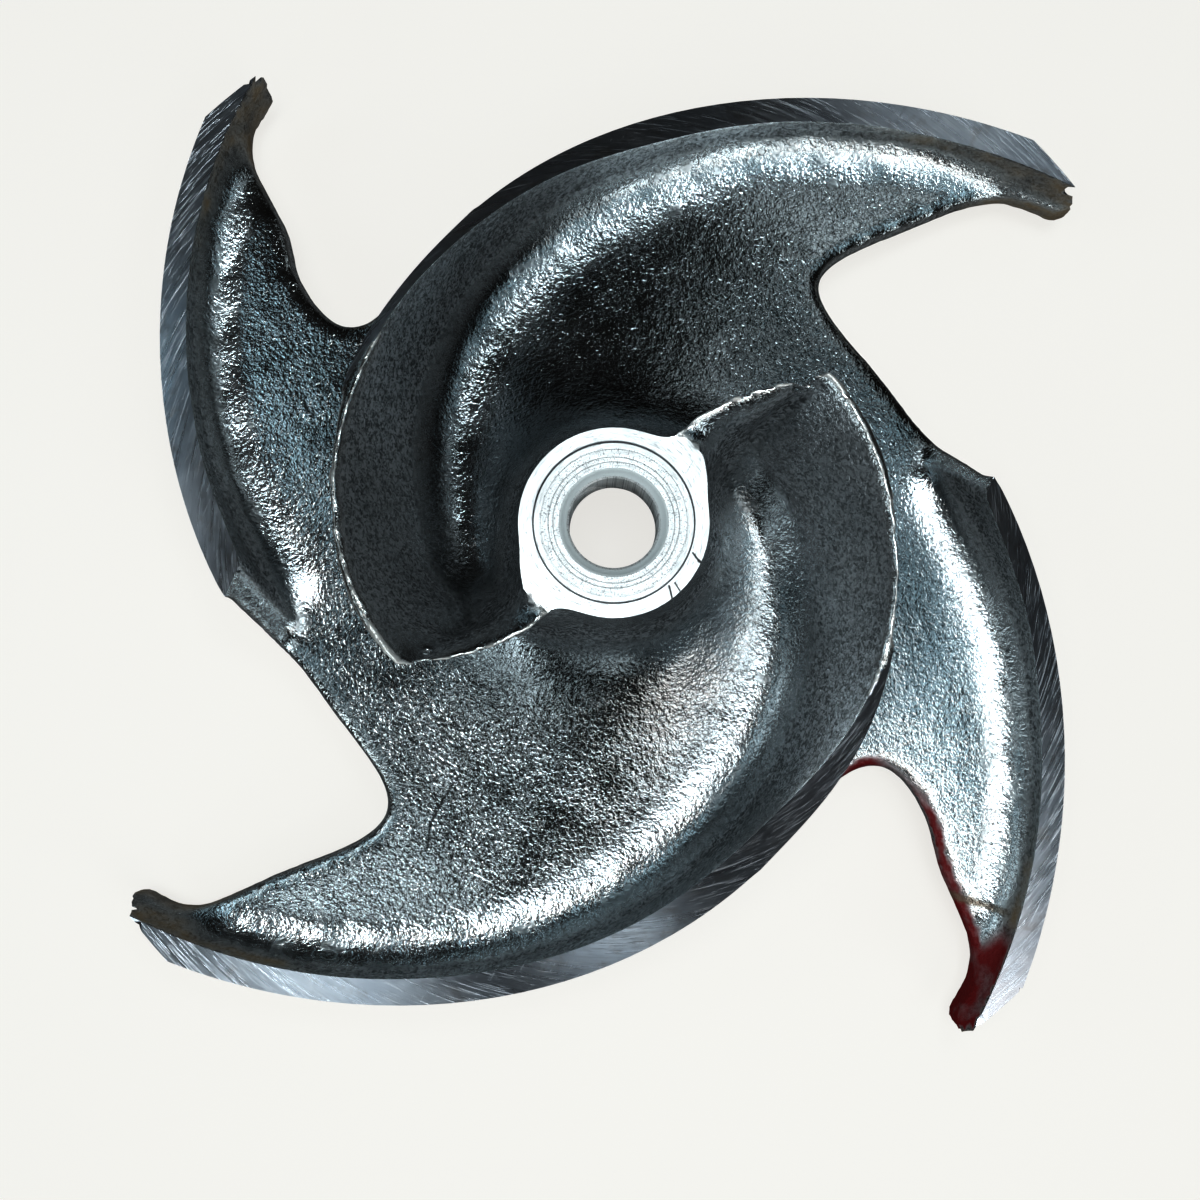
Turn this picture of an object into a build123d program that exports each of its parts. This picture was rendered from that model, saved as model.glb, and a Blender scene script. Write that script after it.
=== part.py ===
from build123d import *
import os
from math import cos, sin, radians, degrees, atan2, hypot, pi

os.makedirs("parts", exist_ok=True)

# ---------------------------------------------------------------------------
# Semi-open pump impeller, one casting: hub, scalloped back shroud with four
# arms, two long vanes that wrap the hub and two splitter vanes.
# +Z is the suction side. Origin: bore axis, on the rear face of the hub.
# Polar tables run anticlockwise seen from +Z; lengths mm, angles degrees.
# ---------------------------------------------------------------------------

OD = 355.0                 # trimmed outside diameter
R = OD / 2
TIP_FACE_Z = 30.0          # turned front edge of the vanes at the outside diameter
HUB_FACE_Z = 86.0          # front face of the hub
HUB_R = 24.3               # hub radius at its front face
FACE_TURN_R = 28.5         # radius to which the hub face is turned
EYE_R = 66.5               # radius of the eye corner of the long vanes
EYE_Z = 91.5               # height of that corner
LAND_W = 1.6               # width of the narrow land along the leading edges
THREAD_R = 11.5            # front threaded hole, minor radius
THREAD_LEN = 20.0          # length of the front threaded hole
SEAT_R = 15.0              # plain shaft seat behind the thread
SLEEVE_R = 21.5            # recess for the shaft sleeve, bored from the back
SLEEVE_LEN = 42.0          # depth of that recess
BORE_CHAMFER = 2.3         # chamfer at the front of the threaded hole
REAR_CHAMFER = 0.5         # chamfer at the mouth of the sleeve recess
REAR_HUB_R = 30.0          # rear hub boss
REAR_BLEND = 10.0          # blend radius between rear hub boss and shroud
STEP_R = 20.6              # raised ring on the front hub face, outer radius
STEP_DEPTH = 0.5           # height of that ring over the rest of the face
RIB_H = 4.0                # back ribs, height off the shroud
RIB_W = 7.0                # back ribs, width

# turned front contour of the vanes (radius, z), eye corner to outside diameter
FRONT = [(EYE_R, EYE_Z), (75.0, 83.0), (85.0, 72.4), (95.0, 62.5), (107.0, 52.7),
         (120.0, 44.6), (135.0, 38.1), (150.0, 34.0), (164.0, 31.4), (R, TIP_FACE_Z)]
# front surface of hub flare and shroud (radius, z)
FLOOR = [(HUB_R, HUB_FACE_Z), (25.2, 72.0), (27.0, 62.0), (31.0, 53.0), (38.0, 46.5),
         (48.0, 41.5), (60.0, 37.8), (78.0, 34.0), (95.0, 31.0), (130.0, 25.0),
         (150.0, 22.0), (R, 19.0), (190.0, 17.6)]
# back surface of the shroud (radius, z)
BACK = [(40.0, 28.2), (60.0, 27.5), (95.0, 22.2), (130.0, 16.6), (R, 11.0), (190.0, 9.8)]

# long vanes: edges of the turned land, angle -> radius
LONG_A_IN = [(30, 189.5), (40, 173.8), (48, 161.7), (56, 150.3), (64, 139.6), (72, 129.2), (80, 119.0),
             (88, 110.7), (96, 104.6), (104, 98.2), (112, 92.7), (120, 87.8), (128, 84.2),
             (136, 81.0), (144, 77.9), (152, 75.8), (160, 74.2), (168, 72.8), (176, 71.2),
             (184, 69.6), (192, 68.1), (200, 66.6), (208, 65.2), (213, 64.3)]
LONG_A_OUT = [(30, 198.0), (40, 182.9), (48, 171.1), (56, 159.7), (64, 148.7), (72, 138.2), (80, 128.9),
              (88, 120.4), (96, 112.6), (104, 105.5), (112, 98.4), (120, 92.6), (128, 87.8),
              (136, 84.6), (144, 82.0), (152, 79.7), (160, 76.8), (168, 74.6), (176, 73.2),
              (184, 71.8), (192, 70.6), (200, 69.1), (208, 67.3), (213, 66.2)]
LONG_B_IN = [(30, 189.7), (40, 174.4), (48, 162.5), (56, 151.1), (64, 140.1), (72, 130.1), (80, 121.1),
             (88, 112.7), (96, 104.9), (104, 97.4), (112, 91.0), (120, 86.3), (128, 83.5),
             (136, 81.6), (144, 79.9), (152, 78.2), (160, 76.4), (168, 74.5), (176, 72.6),
             (184, 70.7), (192, 68.9), (200, 67.6), (208, 66.6), (213, 66.0)]
LONG_B_OUT = [(30, 197.2), (40, 182.9), (48, 170.8), (56, 159.3), (64, 148.7), (72, 139.0), (80, 129.9),
              (88, 121.9), (96, 114.9), (104, 107.8), (112, 101.2), (120, 95.7), (128, 91.6),
              (136, 88.2), (144, 84.7), (152, 81.0), (160, 77.8), (168, 75.3), (176, 73.6),
              (184, 72.6), (192, 71.7), (200, 70.2), (208, 68.5), (213, 67.6)]
# leading edge of the long vanes, angle -> radius, height from the eye cone
LEAD = [(213, 66.4), (215, 64.4), (217.5, 60.0), (220, 56.2), (222.5, 52.0), (225, 47.6),
        (228, 42.6), (231, 37.2), (234, 31.0)]
# foot of the long vanes on their concave side, angle -> radius
LONG_FOOT = [(30, 185.0), (40, 169.0), (48, 155.3), (56, 142.0), (64, 130.6), (72, 120.9), (80, 112.1),
             (88, 104.0), (96, 96.1), (104, 88.2), (112, 81.3), (120, 75.2), (128, 69.1),
             (136, 63.5), (144, 58.5), (152, 53.8), (160, 49.2), (168, 45.2), (176, 42.4),
             (184, 40.7), (192, 38.8), (200, 35.6), (208, 31.5), (213, 29.5)]
# splitter vanes: edges of the turned land, angle -> radius
SPLIT_A_IN = [(117, 192.0), (127.2, 177.5), (132, 170.9), (138, 162.1), (144, 153.1), (150, 144.3), (156, 135.7),
              (162, 127.6), (168, 120.0), (174, 112.9), (180, 106.3), (186, 101.5), (192, 97.0), (202, 91.0)]
SPLIT_A_OUT = [(117, 200.0), (127.2, 186.0), (132, 179.5), (138, 170.7), (144, 161.9), (150, 153.8), (156, 145.4),
               (162, 137.6), (168, 130.1), (174, 123.2), (180, 117.5), (186, 112.1), (192, 107.5), (202, 101.5)]
SPLIT_B_IN = [(117, 191.0), (126.8, 177.5), (132, 169.9), (138, 161.6), (144, 153.1), (150, 144.7), (156, 136.6),
              (162, 129.3), (168, 122.8), (174, 116.2), (180, 110.0), (186, 105.2), (192, 101.0), (202, 95.0)]
SPLIT_B_OUT = [(117, 200.0), (127.2, 186.0), (132, 178.8), (138, 169.6), (144, 160.9), (150, 152.5), (156, 144.6),
               (162, 137.3), (168, 130.4), (174, 124.0), (180, 118.1), (186, 112.2), (192, 107.5), (202, 101.5)]
SPLIT_FOOT = [(117, 182.5), (127.2, 168.5), (132, 163.0), (138, 156.2), (144, 147.3), (150, 139.0), (156, 131.1),
              (162, 123.7), (168, 116.8), (174, 110.6), (180, 105.0), (186, 100.3), (192, 96.5), (202, 90.0)]
# inlet edge of the splitters: top point and foot point in plan
SPLIT_TOP = (-108.1, -17.3)
SPLIT_BOT = (-97.4, -30.9)

# scalloped outline of the shroud in plan, between the vane backs
NOTCH_A_SIDE = [(-109, 148.8), (-105, 144.8), (-106, 140.2), (-109.6, 136.2), (-111.5, 132.6),
                (-111.9, 128.4), (-111.4, 123.8), (-108.6, 116.2), (-104.9, 108.4), (-99.7, 96.4),
                (-96.2, 87.2), (-92.8, 78.6), (-89, 72.3), (-84.8, 68.2), (-81.2, 66.3),
                (-77.6, 65.8), (-73.6, 66.3), (-69.6, 68.7), (-65.4, 73.1), (-59.4, 78.8),
                (-51.8, 84.4)]
NOTCH_B_SIDE = [(-97.6, -31.4), (-91.6, -37.6), (-84.8, -45.7), (-79.5, -53.1), (-73, -62.1),
                (-68.3, -68.1), (-66.2, -71.9), (-65.8, -75.6), (-66.7, -79.8), (-69.7, -84.5),
                (-75.5, -88.4), (-83.4, -91.8), (-93.1, -95.8), (-102.4, -99.9), (-111.8, -103.8),
                (-119.5, -106.9), (-125.8, -108.5), (-131.2, -108.4), (-136.8, -106.0), (-140.4, -103.2),
                (-143.8, -105.0), (-150, -109.6)]
NOTCH_C_SIDE = [(108.6, -149.0), (103.7, -144.0), (103.4, -139.2), (107, -134.2), (109.3, -129.2),
                (110, -124.0), (108.2, -118.9), (105, -111.5), (100.6, -98.4), (97, -88.8),
                (93.4, -80.2), (89.2, -72.8), (84.2, -67.4), (78.6, -65.9), (73.8, -66.8),
                (69.1, -68.8), (64.7, -72.3), (59.3, -77.3), (52.4, -83.6)]
NOTCH_D_SIDE = [(97.2, 30.8), (90, 39.4), (82.9, 47.0), (77.3, 55.4), (71.5, 62.9),
                (66.2, 69.1), (63.7, 73.5), (63.3, 77.7), (64.8, 82.2), (68.8, 86.6),
                (74.9, 90.3), (83.7, 94.4), (94.2, 99.2), (104.9, 103.7), (113, 106.4),
                (120.1, 108.0), (125.8, 108.2), (131.3, 106.9), (136, 104.8), (140.2, 103.5),
                (143.3, 105.9), (150, 111.2)]


# ----------------------------------------------------------------- helpers
def interp(table, x):
    """Cubic Hermite interpolation through a table, monotone in x."""
    n = len(table)
    if x <= table[0][0]:
        (x0, y0), (x1, y1) = table[0], table[1]
        return y0 + (y1 - y0) * (x - x0) / (x1 - x0)
    if x >= table[-1][0]:
        (x0, y0), (x1, y1) = table[-2], table[-1]
        return y1 + (y1 - y0) * (x - x1) / (x1 - x0)
    i = max(k for k in range(n - 1) if table[k][0] <= x)

    def slope(k):
        if k == 0:
            return (table[1][1] - table[0][1]) / (table[1][0] - table[0][0])
        if k == n - 1:
            return (table[-1][1] - table[-2][1]) / (table[-1][0] - table[-2][0])
        return (table[k + 1][1] - table[k - 1][1]) / (table[k + 1][0] - table[k - 1][0])

    (x0, y0), (x1, y1) = table[i], table[i + 1]
    h = x1 - x0
    t = (x - x0) / h
    m0, m1 = slope(i) * h, slope(i + 1) * h
    return ((2 * t ** 3 - 3 * t ** 2 + 1) * y0 + (t ** 3 - 2 * t ** 2 + t) * m0
            + (-2 * t ** 3 + 3 * t ** 2) * y1 + (t ** 3 - t ** 2) * m1)


def smoothstep(a, b, x):
    t = min(max((x - a) / (b - a), 0.0), 1.0)
    return t * t * (3 - 2 * t)


def lerp(a, b, t):
    return a + (b - a) * t


def pol(r, ang, z=0.0):
    return Vector(r * cos(radians(ang)), r * sin(radians(ang)), z)


def front_z(r):
    if r <= FACE_TURN_R:
        return HUB_FACE_Z
    if r <= EYE_R:
        return lerp(HUB_FACE_Z + 0.3, EYE_Z, (r - FACE_TURN_R) / (EYE_R - FACE_TURN_R))
    return interp(FRONT, r)


def floor_z(r):
    return interp(FLOOR, max(r, HUB_R))


def revolve_rz(edges):
    """Solid of revolution from a closed chain of edges drawn in the XZ plane."""
    return revolve(make_face(edges), Axis.Z, 360)


def rz(r, z):
    return Vector(r, 0, z)


def chain(points):
    return [Line(a, b) for a, b in zip(points, points[1:] + points[:1])]


# ----------------------------------------------- hub and shroud of revolution
floor_curve = Spline([rz(r, z) for r, z in FLOOR])
back_curve = Spline([rz(r, z) for r, z in BACK])
disc = revolve_rz([
    Line(rz(0, HUB_FACE_Z), rz(HUB_R, HUB_FACE_Z)),
    floor_curve,
    Line(rz(*FLOOR[-1]), rz(*BACK[-1])),
    back_curve,
    ThreePointArc(rz(*BACK[0]),
                  rz(REAR_HUB_R + 0.29289 * REAR_BLEND, BACK[0][1] - 0.29289 * REAR_BLEND),
                  rz(REAR_HUB_R, BACK[0][1] - REAR_BLEND)),
    Line(rz(REAR_HUB_R, BACK[0][1] - REAR_BLEND), rz(REAR_HUB_R, 0)),
    Line(rz(REAR_HUB_R, 0), rz(0, 0)),
    Line(rz(0, 0), rz(0, HUB_FACE_Z)),
])

# everything in front of the turned contour and outside the OD is machined off
front_curve = Spline([rz(r, z) for r, z in FRONT])
envelope = revolve_rz([
    Line(rz(0, -5), rz(0, HUB_FACE_Z)),
    Line(rz(0, HUB_FACE_Z), rz(STEP_R, HUB_FACE_Z)),
    Line(rz(STEP_R, HUB_FACE_Z), rz(STEP_R, HUB_FACE_Z - STEP_DEPTH)),
    Line(rz(STEP_R, HUB_FACE_Z - STEP_DEPTH), rz(FACE_TURN_R, HUB_FACE_Z - STEP_DEPTH)),
    Line(rz(FACE_TURN_R, HUB_FACE_Z - STEP_DEPTH), rz(FACE_TURN_R, HUB_FACE_Z + 0.3)),
    Line(rz(FACE_TURN_R, HUB_FACE_Z + 0.3), rz(EYE_R, EYE_Z)),
    front_curve,
    Line(rz(R, TIP_FACE_Z), rz(R, -5)),
    Line(rz(R, -5), rz(0, -5)),
])

# ------------------------------------------------------- shroud plan outline
WALL_TOL = 0.5            # fairing allowed on the vane backs
NOTCH_TOL = 0.9           # fairing allowed on the scallops


def back_pts(table, a0, a1, step, turn=0.0):
    n = max(2, round(abs(a1 - a0) / step))
    return [pol(interp(table, lerp(a0, a1, i / n)), lerp(a0, a1, i / n) + turn) for i in range(n + 1)]


def vec(points, turn=0.0):
    return [Vector(x, y, 0) for x, y in points]


JOIN_LONG = 112           # angle where the shroud edge leaves the back of a long vane
a_long = back_pts(LONG_A_OUT, 31, JOIN_LONG, 8)
a_split = back_pts(SPLIT_A_OUT, 119, 187, 6)
b_long = back_pts(LONG_B_OUT, 31, JOIN_LONG, 8, 180)
b_split = back_pts(SPLIT_B_OUT, 119, 187, 6, 180)
notch_a = vec(NOTCH_A_SIDE)
notch_b = vec(NOTCH_B_SIDE)
notch_c = vec(NOTCH_C_SIDE)
notch_d = vec(NOTCH_D_SIDE)

segs = []


def add_curve(points, tol):
    segs.append(Edge.make_spline_approx(points, tol=tol, min_deg=3, max_deg=6))


def add_line(a, b):
    segs.append(Line(a, b))


add_curve(a_long, WALL_TOL)
add_curve([a_long[-1]] + notch_a[::-1], NOTCH_TOL)
add_line(notch_a[0], a_split[0])
add_curve(a_split, WALL_TOL)
add_line(a_split[-1], notch_b[0])
add_curve(notch_b, NOTCH_TOL)
add_line(notch_b[-1], b_long[0])
add_curve(b_long, WALL_TOL)
add_curve([b_long[-1]] + notch_c[::-1], NOTCH_TOL)
add_line(notch_c[0], b_split[0])
add_curve(b_split, WALL_TOL)
add_line(b_split[-1], notch_d[0])
add_curve(notch_d, NOTCH_TOL)
add_line(notch_d[-1], a_long[0])
outline_face = make_face(segs)
outline = extrude(Pos(0, 0, -6) * outline_face, 110)


# -------------------------------------------------------------------- vanes
def raise_to(a, b, up):
    """Point on the line a-b carried past b until it is `up` higher than b."""
    k = (b[1] + up - a[1]) / (b[1] - a[1])
    return (a[0] + k * (b[0] - a[0]), b[1] + up)


def wall_section(ang, turn, r_in, r_out, r_foot, lean, back_foot, over=4.0):
    """Closed wire in the half plane at one angle: concave front wall with its
    root fillet, top above the turned contour, back wall, buried bottom."""
    zi, zo = front_z(r_in), front_z(r_out)
    zf = floor_z(r_foot)
    a0 = (r_foot - 1.2, floor_z(r_foot - 1.2) - 0.8)
    rp = r_foot + min(0.93 * (r_in - r_foot), lean)
    zp = floor_z(rp) + 0.2
    dx, dz = r_in - rp, zi - zp
    ln = hypot(dx, dz)
    b = (r_in + over * dx / ln, zi + over * dz / ln)
    dx2, dz2 = r_out - back_foot, zo - floor_z(back_foot)
    ln2 = hypot(dx2, dz2)
    c = (r_out + over * dx2 / ln2, zo + over * dz2 / ln2)
    low = 3.2
    d = (back_foot - low * dx2 / ln2, floor_z(back_foot) - low)
    mid_r = 0.5 * (a0[0] + d[0])
    mid = (mid_r, min(floor_z(mid_r) - 5.0, 0.5 * (a0[1] + d[1]) - 0.5))
    p = lambda q: pol(q[0], ang + turn, q[1])
    edges = [
        Edge.make_bezier(p(a0), p((rp, zp)), p(b)),
        Edge.make_line(p(b), p(c)),
        Edge.make_line(p(c), p(d)),
        Edge.make_bezier(p(d), p(mid), p(a0)),
    ]
    return Wire(edges)


def long_vane(tab_in, tab_out, turn):
    secs = []
    angs = [32, 38, 44, 52, 60, 68, 76, 84, 92, 100, 108, 116, 124, 132, 140, 148, 156, 164,
            172, 180, 188, 196, 203, 209, 213]
    for a in angs:
        r_in, r_out = interp(tab_in, a), interp(tab_out, a)
        r_foot = interp(LONG_FOOT, a)
        lean = 9.5 - 3.0 * smoothstep(110, 150, a)
        inner = r_foot + lean + 9.0 - 2.5 * smoothstep(195, 213, a)
        k = smoothstep(112, 136, a)
        over_out = 1.2 * (1 - smoothstep(104, 118, a))
        back_foot = lerp(r_out + over_out, min(inner, r_out - 0.5), k)
        secs.append(wall_section(a, turn, r_in, r_out + over_out, r_foot, lean, back_foot))
    # leading edge: the blade runs in to the hub along a free edge
    for a, rl, (fr, fz), (pr, pz), (dr, dz) in [
        (217, 61.0, (24.0, 66.0), (31.0, 70.0), (36.0, 52.0)),
        (221, 54.6, (23.0, 71.0), (28.5, 76.0), (33.0, 56.5)),
        (225, 47.6, (22.0, 75.5), (27.5, 79.5), (30.0, 61.5)),
        (229, 40.8, (21.0, 78.5), (26.0, 81.0), (27.0, 66.5)),
        (233, 33.2, (20.0, 80.5), (24.0, 82.5), (24.5, 70.5)),
        (238, 22.5, (16.0, 80.5), (18.0, 83.8), (19.5, 74.0)),
    ]:
        p = lambda q: pol(q[0], a + turn, q[1])
        zt = front_z(rl)
        b = raise_to((pr, pz), (rl - LAND_W, zt), 1.0)
        c = raise_to((dr, dz), (rl, zt), 1.0)
        mid = (0.5 * (fr + dr) - 5.0, 0.5 * (fz + dz))
        secs.append(Wire([
            Edge.make_bezier(p((fr, fz)), p((pr, pz)), p(b)),
            Edge.make_line(p(b), p(c)),
            Edge.make_line(p(c), p((dr, dz))),
            Edge.make_bezier(p((dr, dz)), p(mid), p((fr, fz))),
        ]))
    return Solid.make_loft(secs, False)


def split_vane(tab_in, tab_out, turn):
    secs = []
    for a in [118, 124, 130, 136, 142, 148, 154, 160, 166, 172, 178, 184, 190, 196, 202]:
        r_in, r_out = interp(tab_in, a), interp(tab_out, a) + 1.2
        r_foot = interp(SPLIT_FOOT, a)
        secs.append(wall_section(a, turn, r_in, r_out, r_foot, 9.0, r_out))
    blade = Solid.make_loft(secs, False)
    # inlet edge: cut back on a plane through the top and foot points
    tx, ty = SPLIT_TOP
    bx, by = SPLIT_BOT
    zt = front_z(hypot(tx, ty))
    zb = floor_z(hypot(bx, by))
    along = Vector(bx - tx, by - ty, zb - zt).normalized()
    across = Vector(0, 0, 1).cross(Vector(bx - tx, by - ty, 0)).normalized()
    normal = across.cross(along).normalized()
    if normal.Z < 0:
        normal = normal * -1
    cutter = Plane(origin=Vector(tx, ty, zt), x_dir=along, z_dir=normal) * Box(
        120, 60, 60, align=(Align.CENTER, Align.CENTER, Align.MIN))
    # keep only the inlet end of the cutter
    cutter = cutter & (Pos(-100, -45, 50) * Box(90, 75, 120))
    return (blade, cutter.rotate(Axis.Z, turn))


# hub side, with an ear where each leading edge joins: angle -> radius at the face
EAR = [(182, 24.3), (190, 24.4), (197, 24.9), (204, 26.0), (211, 27.2), (218, 28.6), (224, 29.4),
       (229, 28.6), (234, 27.0), (240, 25.2), (246, 24.5)]


def hub_cap():
    secs = []
    for z, base, grow in [(46.0, 30.0, 1.55), (56.0, 26.8, 1.65), (66.0, 25.4, 1.5), (77.0, 24.7, 1.25),
                          (HUB_FACE_Z + 1, 24.3, 1.0)]:
        pts = []
        for turn in (0, 180):
            for a, r in EAR:
                pts.append(pol(base + (r - 24.3) * grow, a + turn - 180, z))
            for a in (258, 272, 288, 304, 320, 336, 350):
                pts.append(pol(base, a + turn - 180, z))
        secs.append(Wire([Edge.make_spline(pts, periodic=True)]))
    return Solid.make_loft(secs, False)


# back ribs: centre line of each, angle -> radius
LONG_RIB = [(76, 75), (71.5, 95), (66, 115), (60.5, 130), (55, 145), (50.5, 158)]
SPLIT_RIB = [(178, 80), (171, 95), (163.5, 110), (156.5, 124), (149.5, 137), (143.5, 150), (140, 159)]
RIBS = [(0, LONG_RIB), (180, LONG_RIB), (0, SPLIT_RIB), (180, SPLIT_RIB)]


rib_zone = revolve_rz([
    Spline([rz(r, z - RIB_H) for r, z in BACK]),
    Line(rz(BACK[-1][0], BACK[-1][1] - RIB_H), rz(BACK[-1][0], BACK[-1][1] + 2)),
    Spline([rz(r, z + 2) for r, z in BACK[::-1]]),
    Line(rz(BACK[0][0], BACK[0][1] + 2), rz(BACK[0][0], BACK[0][1] - RIB_H)),
])


def rib(turn, line):
    left, right = [], []
    n = len(line)
    mids = [pol(r, a + turn) for a, r in line]
    for i, m in enumerate(mids):
        d = (mids[min(i + 1, n - 1)] - mids[max(i - 1, 0)]).normalized()
        side = Vector(-d.Y, d.X, 0) * (RIB_W / 2) * lerp(1.0, 0.62, i / (n - 1))
        left.append(m + side)
        right.append(m - side)
    d0 = (mids[0] - mids[1]).normalized() * 3
    d1 = (mids[-1] - mids[-2]).normalized() * 2
    face = make_face([
        Spline(left),
        ThreePointArc(left[-1], mids[-1] + d1, right[-1]),
        Spline(right[::-1]),
        ThreePointArc(right[0], mids[0] + d0, left[0]),
    ])
    return extrude(face, 60) & rib_zone


def first_solid(s):
    sol = s.solids()
    return max(sol, key=lambda q: q.volume)


if __name__ == "__main__":
    long_a = long_vane(LONG_A_IN, LONG_A_OUT, 0)
    long_b = long_vane(LONG_B_IN, LONG_B_OUT, 180)
    sp_a, cut_a = split_vane(SPLIT_A_IN, SPLIT_A_OUT, 0)
    sp_b, cut_b = split_vane(SPLIT_B_IN, SPLIT_B_OUT, 180)
    sp_a = first_solid(Part(sp_a.wrapped) - cut_a)
    sp_b = first_solid(Part(sp_b.wrapped) - cut_b)
    body = disc.fuse(long_a, long_b, sp_a, sp_b, hub_cap())
    # turned contour and outside diameter, then the scalloped outline
    body = body & envelope
    body = first_solid(body & outline)
    print("outline", body.is_valid, body.volume)
    for turn, line in RIBS:
        body = body.fuse(first_solid(rib(turn, line)))
    body = first_solid(body)
    print("ribs", body.is_valid, len(body.solids()), body.volume)
    bore = (Pos(0, 0, -1) * Cylinder(THREAD_R, HUB_FACE_Z + 2, align=(Align.CENTER, Align.CENTER, Align.MIN))
            + Pos(0, 0, -1) * Cylinder(SEAT_R, HUB_FACE_Z - THREAD_LEN + 1, align=(Align.CENTER, Align.CENTER, Align.MIN))
            + Pos(0, 0, -1) * Cylinder(SLEEVE_R, SLEEVE_LEN + 1, align=(Align.CENTER, Align.CENTER, Align.MIN))
            + Pos(0, 0, HUB_FACE_Z - BORE_CHAMFER - 0.5) * Cone(
                THREAD_R - 0.5, THREAD_R + BORE_CHAMFER + 0.5, BORE_CHAMFER + 1.0,
                align=(Align.CENTER, Align.CENTER, Align.MIN))
            + Pos(0, 0, -0.5) * Cone(SLEEVE_R + REAR_CHAMFER + 0.5, SLEEVE_R - 0.5, REAR_CHAMFER + 1.0,
                                     align=(Align.CENTER, Align.CENTER, Align.MIN)))
    body = first_solid(body - bore)
    print("bored", body.is_valid, body.volume)
    export_step(body, "parts/impeller.step")
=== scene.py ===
import math

import bmesh
import bpy
import numpy as np
from mathutils import Matrix, Vector, noise
from mathutils.bvhtree import BVHTree
from mathutils.kdtree import KDTree


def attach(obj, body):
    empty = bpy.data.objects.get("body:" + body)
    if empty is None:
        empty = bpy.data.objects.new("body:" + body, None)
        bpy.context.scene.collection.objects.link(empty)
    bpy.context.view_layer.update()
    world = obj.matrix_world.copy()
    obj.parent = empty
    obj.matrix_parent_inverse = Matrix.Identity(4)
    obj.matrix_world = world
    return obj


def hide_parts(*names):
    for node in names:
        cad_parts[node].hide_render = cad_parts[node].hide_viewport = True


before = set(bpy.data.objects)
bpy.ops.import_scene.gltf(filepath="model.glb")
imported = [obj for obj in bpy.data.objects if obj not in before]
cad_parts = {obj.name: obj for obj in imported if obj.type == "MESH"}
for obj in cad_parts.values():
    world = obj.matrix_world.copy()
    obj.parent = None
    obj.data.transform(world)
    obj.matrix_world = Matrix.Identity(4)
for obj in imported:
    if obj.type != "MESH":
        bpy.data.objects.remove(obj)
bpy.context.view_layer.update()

# ---------------------------------------------------------------- dimensions
# millimetres, from the CAD model
R_OD = 177.5
FRONT_RZ = [(28.5, 86.3), (66.5, 91.5), (75.0, 83.0), (85.0, 72.4), (95.0, 62.5), (107.0, 52.7),
            (120.0, 44.6), (135.0, 38.1), (150.0, 34.0), (164.0, 31.4), (177.5, 30.0)]
FACE_Z = 85.5
VOXEL = 1.52


def front_z(r):
    return np.interp(r, [p[0] for p in FRONT_RZ], [p[1] for p in FRONT_RZ])


# ------------------------------------------------------------ read the casting
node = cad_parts["impeller"]


def merged_arrays(mesh):
    bm = bmesh.new()
    bm.from_mesh(mesh)
    bmesh.ops.remove_doubles(bm, verts=bm.verts, dist=2e-6)
    bmesh.ops.triangulate(bm, faces=bm.faces)
    v = np.array([x.co[:] for x in bm.verts]) * 1000.0
    t = np.array([[q.index for q in f.verts] for f in bm.faces])
    bm.free()
    return v, t


V0, T0 = merged_arrays(node.data)

# the front hole is opened up and the ring on the hub face taken down, because the
# fine turned ring below carries them
r0 = np.hypot(V0[:, 0], V0[:, 1])
top = (V0[:, 2] > FACE_Z - 0.01) & (r0 < 20.8)
V0[top, 2] = FACE_Z
hole = (r0 < 14.2) & (V0[:, 2] > 65.9)
grow = np.where(hole, (r0 + 2.4) / np.maximum(r0, 1e-6), 1.0)
V0[:, 0] *= grow
V0[:, 1] *= grow


def tri_normals(v, t):
    n = np.cross(v[t[:, 1]] - v[t[:, 0]], v[t[:, 2]] - v[t[:, 0]])
    a = np.linalg.norm(n, axis=1)
    return n / np.maximum(a, 1e-12)[:, None], a / 2


N0, A0 = tri_normals(V0, T0)
keep = A0 > 1e-7
T0, N0, A0 = T0[keep], N0[keep], A0[keep]


def edge_table(t):
    e = np.concatenate([t[:, [0, 1]], t[:, [1, 2]], t[:, [2, 0]]])
    f = np.tile(np.arange(len(t)), 3)
    s = np.sort(e, axis=1)
    key = s[:, 0].astype(np.int64) * (int(t.max()) + 1) + s[:, 1]
    o = np.argsort(key, kind="stable")
    key, s, f = key[o], s[o], f[o]
    first = np.r_[True, key[1:] != key[:-1]]
    idx = np.nonzero(first)[0]
    cnt = np.diff(np.r_[idx, len(key)])
    two = cnt == 2
    return s[idx[two]], f[idx[two]], f[idx[two] + 1]


E0, FA, FB = edge_table(T0)
dots = (N0[FA] * N0[FB]).sum(1)
sharp = dots < math.cos(math.radians(24))

# patches of the casting between its sharp edges
parent = np.arange(len(T0))


def find(i):
    while parent[i] != i:
        parent[i] = parent[parent[i]]
        i = parent[i]
    return i


for a, b in zip(FA[~sharp], FB[~sharp]):
    ra, rb = find(a), find(b)
    if ra != rb:
        parent[rb] = ra
root = np.array([find(i) for i in range(len(T0))])

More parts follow.
